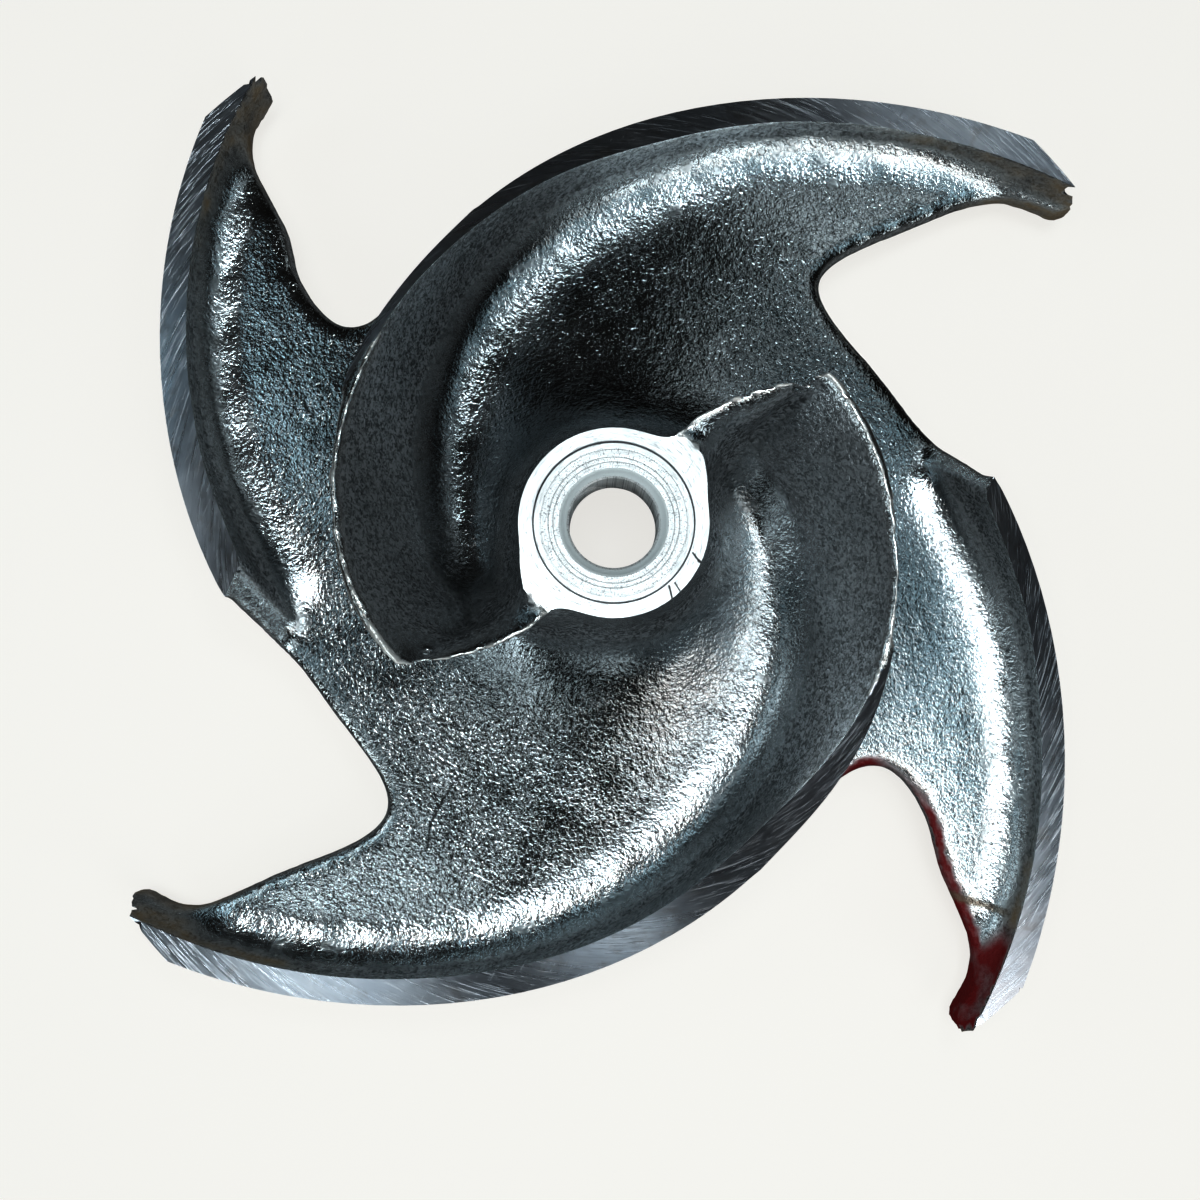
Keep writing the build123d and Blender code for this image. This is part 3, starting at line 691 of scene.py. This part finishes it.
def cast_material():
    m = Mat("cast_steel")
    wob = m.noise(m.tc, 160.0, 2.0)
    g1 = m.noise(m.tc, 880.0, 2.0, 0.5, 1.0)
    g2 = m.voronoi(m.tc, 740.0, "SMOOTH_F1", 0.6)
    g3 = m.noise(m.tc, 1700.0, 2.0, 0.55)
    big = m.noise(m.tc, 28.0, 3.0, 0.55)
    mid = m.noise(m.tc, 90.0, 3.0, 0.55)
    grain = m.math("ADD", m.math("MULTIPLY", g1, 0.75), m.math("MULTIPLY", g2, -0.35))
    patch = m.ramp(mid, [(0.35, 0.65), (0.65, 1.0)])
    wall = m.attr("steep")
    n1 = m.bump(m.math("MULTIPLY", grain, patch), 0.00055, 0.55)
    n2 = m.bump(g3, 0.00016, 0.40, n1)
    n3 = m.bump(wob, 0.0012, 0.20, n2)
    m.put(m.b.inputs["Normal"], n3)
    cav = m.attr("cavity")
    base = m.mix(m.ramp(big, [(0.38, 0.0), (0.62, 1.0)]), (0.40, 0.44, 0.46), (0.56, 0.60, 0.62))
    # painted sheen on the outer arms' brighter finish: their colour is lifted to a bluish white
    base = m.mix(m.math("MULTIPLY", m.attr("polish_and_sheen"), 0.9), base, (0.88, 0.95, 0.98))
    base = m.mix(m.math("MULTIPLY", m.ramp(g1, [(0.30, 1.0), (0.44, 0.0)]), 0.45), base, (0.10, 0.115, 0.12))
    # painted shade: concave creases and root fillets are darkened in patches, and the same mask makes them rougher
    crease_shade = m.math("MULTIPLY", m.math("MULTIPLY", cav, 1.4, clamp=True), m.ramp(mid, [(0.3, 0.3), (0.7, 1.0)]))
    base = m.mix(m.math("MULTIPLY", crease_shade, 0.8, clamp=True), base, (0.030, 0.035, 0.038))
    edge = m.math("MULTIPLY", cav, -1.1, clamp=True)
    base = m.mix(m.math("MULTIPLY", edge, 0.6), base, (0.72, 0.74, 0.74))
    st = m.math("ADD", m.math("MULTIPLY", m.attr("strip"), 3.0), 0.5, clamp=True)
    st = m.math("MULTIPLY", st, 1.0, clamp=True)
    rim = m.math("SUBTRACT", 1.0, m.math("ABSOLUTE", m.math("MULTIPLY", m.attr("strip"), 2.2)), clamp=True)
    base = m.mix(m.math("MULTIPLY", st, 0.8), base, (0.50, 0.50, 0.49))
    burr = m.math("MAXIMUM", m.math("MULTIPLY", rim, 0.6), m.math("MULTIPLY", m.attr("inlet"), 0.9))
    base = m.mix(burr, base, (0.40, 0.40, 0.385))
    bf = m.math("MULTIPLY", m.attr("brown"), m.ramp(mid, [(0.30, 0.35), (0.62, 1.0)]))
    base = m.mix(bf, base, (0.20, 0.15, 0.085))
    rf = m.math("MULTIPLY", m.attr("red"), m.ramp(mid, [(0.28, 0.75), (0.50, 1.0)]))
    base = m.mix(rf, base, (0.17, 0.008, 0.010))
    for a, b, w in (((-0.0442, -0.0682), (-0.0490, -0.0752), 0.00002), ((-0.0490, -0.0752), (-0.0528, -0.0829), 0.00006),
                    ((-0.0528, -0.0829), (-0.0535, -0.0893), 0.00010)):
        base = m.mix(m.math("MULTIPLY", m.segment(a, b, w, 0.0005), 0.75), base, (0.03, 0.032, 0.035))
    base = m.mix(m.math("MULTIPLY", m.segment((0.1028, -0.1050), (0.1167, -0.1092), 0.0006, 0.0012), 0.8), base,
                 (0.16, 0.12, 0.08))
    speck = m.ramp(g1, [(0.42, 0.0), (0.60, 1.0)])
    walls = m.math("MULTIPLY", wall, m.math("SUBTRACT", 1.0, m.math("MAXIMUM", bf, rf)))
    grey = m.mix(speck, (0.012, 0.013, 0.015), (0.36, 0.38, 0.40))
    walls = m.math("MULTIPLY", walls, m.math("SUBTRACT", 1.0, burr))
    base = m.mix(m.math("MULTIPLY", walls, 0.72), base, grey)
    m.put(m.b.inputs["Base Color"], base)
    coat = m.math("MAXIMUM", bf, rf)
    flat = m.math("MAXIMUM", m.math("MULTIPLY", coat, 0.85), m.math("MULTIPLY", walls, 0.40))
    flat = m.math("MAXIMUM", flat, m.math("MULTIPLY", burr, 0.8))
    m.put(m.b.inputs["Metallic"], m.math("SUBTRACT", 1.0, flat, clamp=True))
    ro = m.math("ADD", 0.11, m.math("MULTIPLY", mid, 0.13))
    ro = m.math("ADD", ro, m.math("MULTIPLY", crease_shade, 0.25))
    ro = m.math("ADD", ro, m.math("MULTIPLY", coat, 0.22), clamp=True)
    m.put(m.b.inputs["Roughness"], ro)
    return m.m


def turned_material(name, base_a, base_b, rough, ring_amp, scratch_amp, face=False, stain=None, metal=1.0):
    m = Mat(name)
    r, a, z = m.polar()
    x, y, zz = m.xyz(m.tc)
    ca, sa = m.math("DIVIDE", x, r), m.math("DIVIDE", y, r)

    def arcs(across, along, seed, detail=2.0):
        v = m.vec(m.math("MULTIPLY", r, across), m.math("MULTIPLY", ca, along), m.math("MULTIPLY_ADD", sa, along, seed))
        return m.noise(v, 1.0, detail, 0.6)

    # tool marks are arcs about the bore axis
    fine = arcs(2900.0, 9.0, 0.0)
    coarse = arcs(700.0, 3.0, 5.0, 1.0)
    s1 = m.ramp(arcs(3600.0, 11.0, 11.0, 1.0), [(0.64, 0.0), (0.72, 0.8)])
    s2 = m.ramp(arcs(2600.0, 5.0, 23.0, 1.0), [(0.66, 0.0), (0.73, 1.0)])
    s3 = m.scratches(-62, 2600.0, 1.37, 0.68, 0.74, 36.0)
    s4 = m.ramp(arcs(4600.0, 24.0, 31.0, 1.0), [(0.66, 0.0), (0.74, 0.6)])
    scr = m.math("MAXIMUM", m.math("MAXIMUM", s1, s2), m.math("MAXIMUM", s3, s4))
    n1 = m.bump(fine, 0.00010, ring_amp)
    n2 = m.bump(m.math("MULTIPLY", scr, -1.0), 0.00008, scratch_amp, n1)
    n3 = m.bump(m.noise(m.tc, 60.0, 2.0), 0.0014, 0.12, n2)
    m.put(m.b.inputs["Normal"], n3)
    big = m.noise(m.tc, 45.0, 3.0, 0.6)
    base = m.mix(m.ramp(big, [(0.35, 0.0), (0.65, 1.0)]), base_a, base_b)
    base = m.mix(m.math("MULTIPLY", scr, 0.5), base, (0.80, 0.82, 0.84))
    base = m.mix(m.math("MULTIPLY", m.ramp(fine, [(0.30, 1.0), (0.45, 0.0)]), 0.18), base, (0.18, 0.20, 0.23))
    if face:
        dash = m.ramp(arcs(1500.0, 55.0, 41.0, 1.0), [(0.57, 0.0), (0.66, 1.0)])
        dash = m.math("MULTIPLY", dash, m.math("DIVIDE", m.math("SUBTRACT", 0.0196, r), 0.001, clamp=True))
        base = m.mix(m.math("MULTIPLY", dash, 0.72), base, (0.10, 0.105, 0.115))
    if stain is not None:
        spots = m.ramp(m.noise(m.tc, 130.0, 4.0, 0.65), [(0.56, 0.0), (0.68, 1.0)])
        base = m.mix(m.math("MULTIPLY", spots, stain[1]), base, stain[0])
    if face:
        for p, q, w in (((0.0201, -0.0078), (0.0216, -0.0098), 0.00012), ((0.0216, -0.0098), (0.0233, -0.0113), 0.0002),
                        ((0.0140, -0.0162), (0.0150, -0.0202), 0.00012), ((0.0155, -0.0154), (0.0176, -0.0188), 0.00006)):
            base = m.mix(m.segment(p, q, w, 0.0003), base, (0.015, 0.015, 0.016))
        # a dark line in the joint round the raised ring, widened on the top (+y) half as painted shadow
        width = m.math("ADD", 0.00028, m.math("MULTIPLY", m.math("MULTIPLY", y, 22.0, clamp=True), 0.0006))
        d = m.math("ABSOLUTE", m.math("SUBTRACT", r, 0.0206))
        line = m.math("SUBTRACT", 1.0, m.math("DIVIDE", d, width, clamp=True), clamp=True)
        base = m.mix(m.math("MULTIPLY", line, 1.6, clamp=True), base, (0.03, 0.032, 0.036))
    m.put(m.b.inputs["Base Color"], base)
    if name == "hub_ring":
        # the chamfer at the mouth of the bore is bright and matt: a light matt colour painted in place of the turned
        # metal's bright reflection
        cham = m.math("MULTIPLY", m.math("DIVIDE", m.math("SUBTRACT", 0.0140, r), 0.0003, clamp=True),
                      m.math("DIVIDE", m.math("SUBTRACT", r, 0.0119), 0.0003, clamp=True))
        base = m.mix(m.math("MULTIPLY", cham, 0.9), base, (0.60, 0.65, 0.66))
        m.put(m.b.inputs["Metallic"], m.math("MULTIPLY", m.math("SUBTRACT", 1.0, cham), metal))
        m.put(m.b.inputs["Base Color"], base)
    else:
        m.b.inputs["Metallic"].default_value = metal
    ro = m.math("ADD", rough, m.math("MULTIPLY", m.math("SUBTRACT", coarse, 0.5), 0.16))
    ro = m.math("ADD", ro, m.math("MULTIPLY", scr, 0.28), clamp=True)
    m.put(m.b.inputs["Roughness"], ro)
    return m.m


BROWN = (0.20, 0.14, 0.09)
mats = [
    cast_material(),
    turned_material("turned_land", (0.50, 0.54, 0.60), (0.62, 0.65, 0.70), 0.29, 0.14, 0.5, stain=(BROWN, 0.25), metal=0.95),
    turned_material("turned_rim", (0.42, 0.42, 0.42), (0.58, 0.58, 0.58), 0.32, 0.7, 0.4, stain=(BROWN, 0.7)),
    turned_material("hub_face", (0.51, 0.525, 0.53), (0.59, 0.605, 0.605), 0.44, 0.3, 0.25, face=True, metal=0.65),
    turned_material("bored", (0.50, 0.52, 0.54), (0.64, 0.66, 0.67), 0.34, 0.7, 0.2, stain=(BROWN, 0.35)),
    turned_material("inlet_land", (0.55, 0.52, 0.46), (0.74, 0.72, 0.68), 0.42, 0.2, 0.5, stain=(BROWN, 0.5)),
]
for mt in mats:
    me.materials.append(mt)
rme.materials.append(turned_material("hub_ring", (0.49, 0.507, 0.512), (0.57, 0.587, 0.587), 0.42, 0.45, 0.2, face=True, metal=0.45))

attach(body_ob, "root")
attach(ring_ob, "root")
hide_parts("impeller")

# ---------------------------------------------------------------------- stage
bpy.ops.mesh.primitive_plane_add(size=12.0, location=(0, 0, 0))
floor = bpy.context.object
floor.name = "floor"
fm = Mat("floor_pale")
fm.t.nodes.remove(fm.b)
em = fm.n("ShaderNodeEmission")
em.inputs["Color"].default_value = (0.871, 0.860, 0.831, 1)
em.inputs["Strength"].default_value = 0.915
df = fm.n("ShaderNodeBsdfDiffuse")
df.inputs["Color"].default_value = (0.16, 0.16, 0.155, 1)
ad = fm.n("ShaderNodeAddShader")
fm.t.links.new(em.outputs[0], ad.inputs[0])
fm.t.links.new(df.outputs[0], ad.inputs[1])
fm.t.links.new(ad.outputs[0], fm.out.inputs[0])
floor.data.materials.append(fm.m)
floor.visible_glossy = False

# soft disks: distance from the bore axis (m), compass angle, height (m), size (m), power (W), tint
COOL, BLUE, WARM = (0.88, 0.97, 1.00), (0.68, 0.90, 1.00), (1.00, 0.93, 0.88)
LIGHTS = [
    (0.00, 0, 1.00, 0.25, 3.10, COOL),
    (0.15, 60, 0.62, 0.13, 0.45, COOL),
    (0.15, 180, 0.62, 0.13, 0.34, WARM),
    (0.15, 240, 0.62, 0.13, 0.20, COOL),
    (0.15, 300, 0.62, 0.13, 0.15, WARM),
    (0.30, 315, 0.60, 0.18, 0.30, COOL),
    (0.45, 18, 0.60, 0.22, 0.12, BLUE),
    (0.45, 306, 0.60, 0.22, 0.31, WARM),
    (0.45, 342, 0.60, 0.22, 0.12, BLUE),
    (0.66, 54, 0.58, 0.28, 0.14, COOL),
    (0.66, 162, 0.58, 0.28, 0.31, BLUE),
    (0.66, 198, 0.58, 0.28, 0.12, BLUE),
    (0.66, 234, 0.58, 0.28, 0.34, COOL),
    (0.66, 306, 0.58, 0.28, 0.23, WARM),
    (0.95, 180, 0.52, 0.40, 0.72, COOL),
    (0.95, 315, 0.52, 0.40, 1.09, COOL),
    (1.05, 135, 0.25, 0.40, 0.20, BLUE),
    (1.05, 225, 0.25, 0.40, 1.47, COOL),
    (1.05, 270, 0.25, 0.40, 0.43, COOL),
]
for i, (rad, az, high, size, power, col) in enumerate(LIGHTS):
    ld = bpy.data.lights.new("soft_%02d" % i, "AREA")
    ld.shape = "DISK"
    ld.size = size
    ld.energy = power
    ld.color = col
    lo = bpy.data.objects.new("soft_%02d" % i, ld)
    bpy.context.scene.collection.objects.link(lo)
    az = math.radians(az)
    lo.location = (rad * math.cos(az), rad * math.sin(az), high)
    lo.rotation_euler = (lo.location - Vector((0, 0, 0.03))).to_track_quat("Z", "Y").to_euler()
    lo.visible_camera = False

world = bpy.data.worlds.new("studio")
world.use_nodes = True
world.node_tree.nodes["Background"].inputs["Color"].default_value = (1.0, 0.90, 0.80, 1)
world.node_tree.nodes["Background"].inputs["Strength"].default_value = 0.008
bpy.context.scene.world = world

cam_data = bpy.data.cameras.new("camera")
cam_data.lens = 39.0
cam_data.sensor_width = 36.0
cam_data.clip_start = 0.01
cam = bpy.data.objects.new("camera", cam_data)
bpy.context.scene.collection.objects.link(cam)
rows_c = ((0.99995975, -0.00024188, 0.00896905), (0.00024188, -0.99854650, -0.05389637),
          (0.00896905, 0.05389637, -0.99850625))
mw = Matrix.Identity(4)
for k in range(3):
    mw[k][0] = rows_c[0][k]
    mw[k][1] = -rows_c[1][k]
    mw[k][2] = -rows_c[2][k]
mw.translation = Vector((-0.0064768, -0.0375013, 0.4142771))
cam.matrix_world = mw
bpy.context.scene.camera = cam
bpy.context.scene.view_settings.view_transform = "Standard"
bpy.context.scene.view_settings.look = "None"
bpy.context.scene.view_settings.gamma = 0.72
